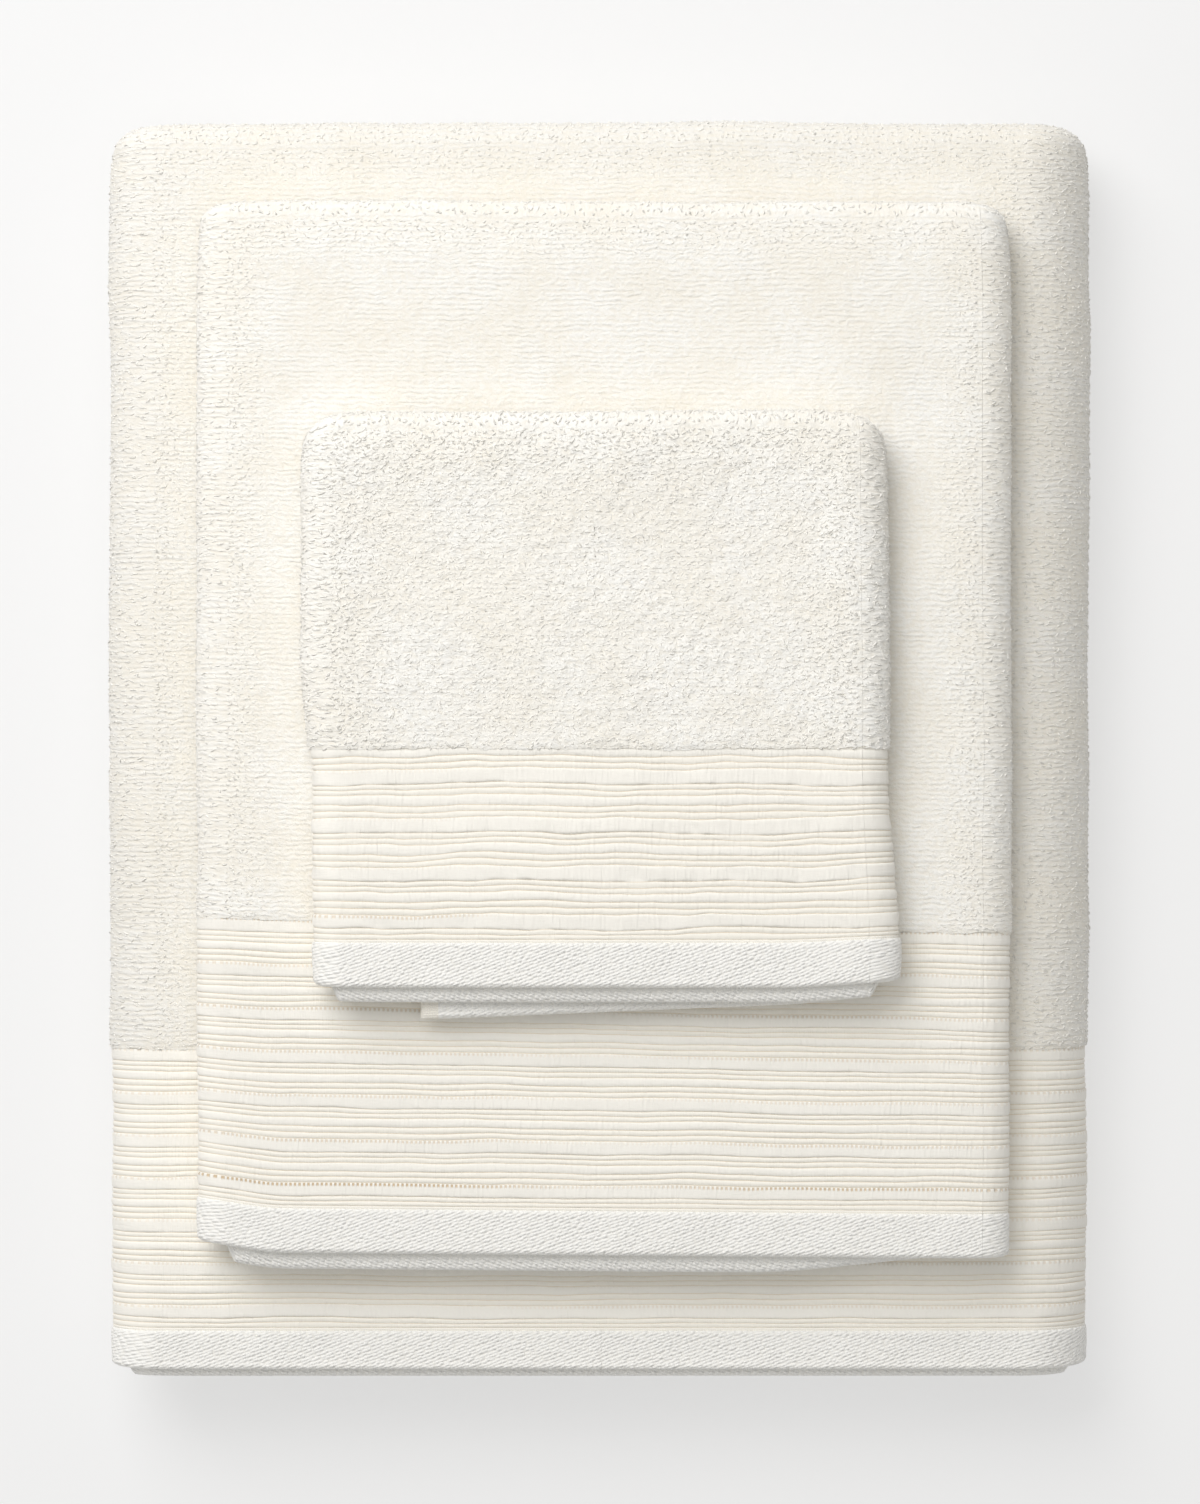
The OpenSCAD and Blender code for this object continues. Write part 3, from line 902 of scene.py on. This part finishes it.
    def ribbed_band(self, body, inner, nodes, fine):
        t, ribs = self.t, self.ribs
        u = self.columns(body, fine)[None, :]
        place = ribs.place
        start = t.length - t.hem - t.seam if inner else t.hem + t.seam
        towards = -1 if inner else 1
        inside = smooth_step(place, 0, 2 * MM)
        drift = (
            0.4 * self.lumps(u, place, 26 * MM, 9.1) + 0.32 * self.lumps(u, 3 * place, 14 * MM, 2.9)
            + 0.12 * self.lumps(u, 2 * place, 5 * MM, 6.3))
        v = start + towards * (place + t.tousle * drift * inside * MM)
        crease = self.lumps(u + 0.6 * place, 0.4 * place, 3.2 * MM, 3.3)
        pucker = 0.24 * t.tousle * MM * crease * ribs.crease
        fullness = 1 + 0.25 * self.lumps(u, 3 * place, 11 * MM, 7.4)
        upper = t.thick / 2 - BAND_DROP - 0.55 * MM + ribs.height * fullness + pucker
        hollow = np.clip(ribs.hollow - 0.1 * crease * (ribs.hollow > 0.9), 0, 1)
        fade = 0.5 + 1.2 * self.lumps(u, 0 * place, 60 * MM, 1.7)
        fade = np.clip(fade, 0.1, 1) * (1 - smooth_step(u - t.u[2], t.ladder_end - 25 * MM, t.ladder_end))
        lower = t.thick / 2 - 0.2 * MM
        values = [np.broadcast_to(a, v.shape) for a in (upper, hollow, ribs.ladder * fade)]
        if inner:
            v, values = v[::-1], [a[::-1] for a in values]
        name = f"{body}_inner_band" if inner else f"{body}_band"
        self.add(name, body, u, v, values[0], lower, "band", nodes, hollow=values[1], mark=values[2])

    def turned_hem(self, body, inner, nodes, fine):
        t = self.t
        from_edge = with_close_ends(join(
            spaced(0, 1.6 * MM, 0.2 * MM), spaced(1.6 * MM, t.hem - 2 * MM, 0.6 * MM),
            spaced(t.hem - 2 * MM, t.hem, 0.25 * MM)))[:, None]
        u = self.columns(body, fine)[None, :]
        full = rounded(from_edge, t.thick / 2)
        to_seam = rounded(t.hem - from_edge, 1.3 * MM)
        strand = np.abs(np.sin(math.pi * (u + 0.6 * from_edge) / (1.3 * MM)))
        rope = 0.25 * MM * strand * (1 - smooth_step(from_edge, 0.9 * MM, 2 * MM))
        soft = 0.2 * MM * self.lumps(u, from_edge, 7 * MM, 7.7)
        upper = (t.thick / 2 - HEM_DROP + soft + rope - 0.6 * MM * (1 - to_seam)) * full
        lower = (t.thick / 2 - 0.2 * MM) * full + 0 * upper
        v = t.length - from_edge if inner else from_edge
        if inner:
            v, upper, lower = v[::-1], upper[::-1], lower[::-1]
        name = f"{body}_inner_hem" if inner else f"{body}_hem"
        self.add(name, body, u, v, upper, lower, "hem", nodes)

    def stitch_line(self, body, inner, nodes):
        """The line of stitches that holds the hem down, one raised stitch after another."""
        t = self.t
        from_hem = with_close_ends(spaced(0, t.seam, 0.16 * MM))[:, None]
        u = self.columns(body, 0.65 * MM)[None, :]
        stitch = np.abs(np.sin(math.pi * u / (2.6 * MM))) ** 0.5 * np.sin(math.pi * from_hem / t.seam)
        upper = t.thick / 2 - BAND_DROP - 0.45 * MM + 0.22 * MM * stitch
        v = t.hem + from_hem
        if inner:
            v, upper = (t.length - v)[::-1], upper[::-1]
        name = f"{body}_inner_stitching" if inner else f"{body}_stitching"
        self.add(name, body, u, v, upper, t.thick / 2 - 0.3 * MM, "thread", nodes, hollow=0.2)

    def selvages(self):
        """The woven edge of each flap, thinning to nothing at the cut of the cloth."""
        t = self.t
        turns = [spaced(a, b, 1.3 * MM if run[0] == "turn" else 4 * MM) for a, b, run in t.runs]
        inside = [place for place in join(*turns) if 3 * MM < place < t.length - 3 * MM]
        v = join(spaced(0, 3 * MM, 0.4 * MM), inside, spaced(t.length - 3 * MM, t.length, 0.4 * MM))[:, None]
        for side, body, start in (("left", "top", 0), ("right", "base", t.width - t.selvage)):
            u = spaced(start, start + t.selvage, 0.7 * MM)[None, :]
            from_free = u - start if side == "left" else start + t.selvage - u
            from_end = np.minimum(v, t.length - v)
            full = rounded(from_free, 2.2 * MM) * rounded(from_end, t.thick / 2)
            upper = (t.thick / 2 - 0.5 * MM) * full
            self.add(f"{side}_selvage", body, u, v, upper, upper, "selvage", [f"{side}_selvage"], hollow=0.3)

    def make(self):
        t = self.t
        band_grain, hem_grain = 0.75 * t.grain, 0.45 * t.grain + 0.1 * MM
        for body, terry_nodes, band_nodes, inner_nodes, hem_nodes, inner_hem_nodes, seam_nodes in (
                ("top", ["front_terry", "left_flap_terry"], ["front_band", "left_flap_bands"], ["inner_band"],
                 ["front_hem", "left_flap_hems"], ["inner_hem"], ["front_stitching"]),
                ("fold", ["fold_terry"], ["fold_bands"], [], ["fold_hems"], [], ["fold_stitching"]),
                ("base", ["right_flap_terry"], ["right_flap_bands"], [], ["right_flap_hems"], [],
                 ["right_flap_stitching"])):
            terry = self.terry(body, terry_nodes)
            self.ribbed_band(body, False, band_nodes, band_grain)
            self.ribbed_band(body, True, inner_nodes, 2 * band_grain)
            self.turned_hem(body, False, hem_nodes, hem_grain)
            self.turned_hem(body, True, inner_hem_nodes, hem_grain)
            self.stitch_line(body, False, seam_nodes)
            self.stitch_line(body, True, [])
            if body != "base":
                self.pile_loops(body)
        self.selvages()


make_camera()
make_studio()
make_floor()
bath = BathTowel("bath")
hand = HandTowel("hand", below=bath)
wash = Washcloth("wash", below=hand)
shared = {
    "band": band_material(), "hem": hem_material(), "yarn": yarn_material(),
    "selvage": selvage_material(), "thread": thread_material()}
for towel in (bath, hand, wash):
    terry = terry_material(f"{towel.name}_terry", towel.fluff, *towel.tints)
    Maker(towel, {"terry": terry, **shared}).make()
